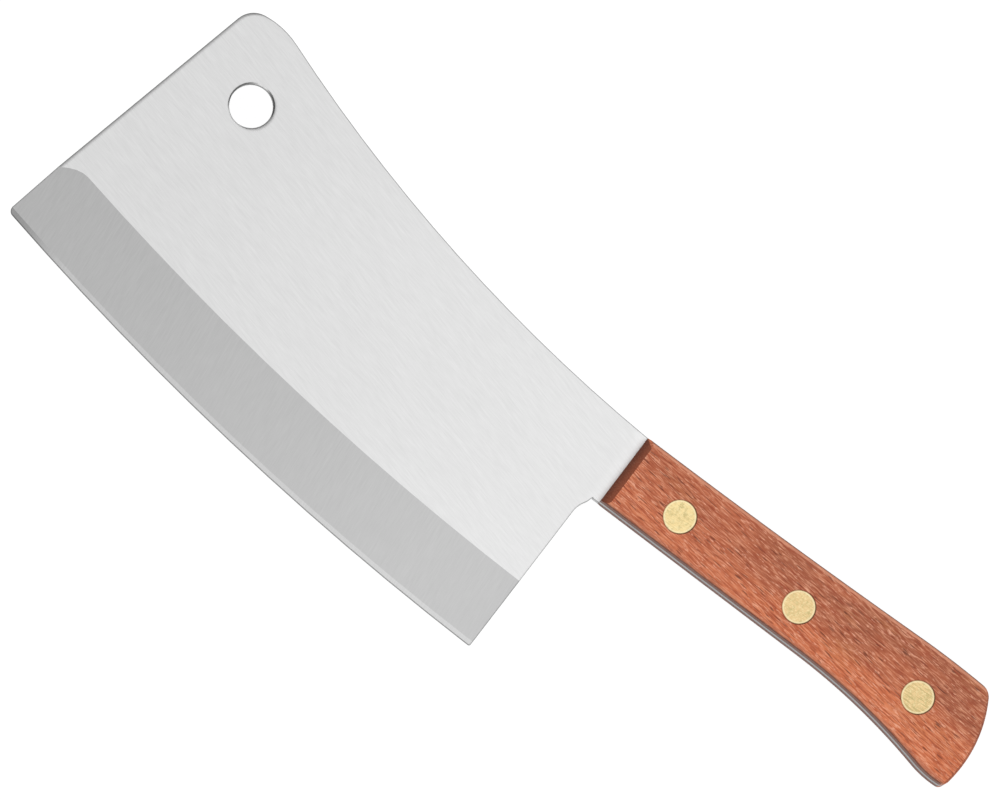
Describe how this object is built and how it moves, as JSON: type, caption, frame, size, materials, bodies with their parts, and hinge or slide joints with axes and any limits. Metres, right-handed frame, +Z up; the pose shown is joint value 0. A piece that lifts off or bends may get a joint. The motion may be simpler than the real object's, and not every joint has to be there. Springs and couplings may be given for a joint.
{
  "type": "cleaver",
  "caption": "Heavy kitchen cleaver: broad blade with a curved edge and a hanging hole, and a wooden handle riveted to its full tang.",
  "frame": {"origin": "The middle of the part's box, on the flat surface that the right side of the handle lies on", "axes": "+X runs toward the butt of the handle along the line between the cutting edge's corners, +Y from the cutting edge toward the spine, and +Z up, out of the left face"},
  "size_m": [0.385, 0.1216, 0.0218],
  "materials": {
    "steel": "fine satin grinding lines, with a ground bevel along the cutting edge",
    "wood": "sanded and lightly oiled reddish brown hardwood with open grain",
    "brass": "sanded flush with the wood, with fine scratches"
  },
  "bodies": {
    "root": {"blade": "steel", "left_scale": "wood", "right_scale": "wood", "front_rivet_sleeve": "brass", "front_rivet_pin": "brass", "middle_rivet_sleeve": "brass", "middle_rivet_pin": "brass", "rear_rivet_sleeve": "brass", "rear_rivet_pin": "brass"}
  },
  "joints": []
}
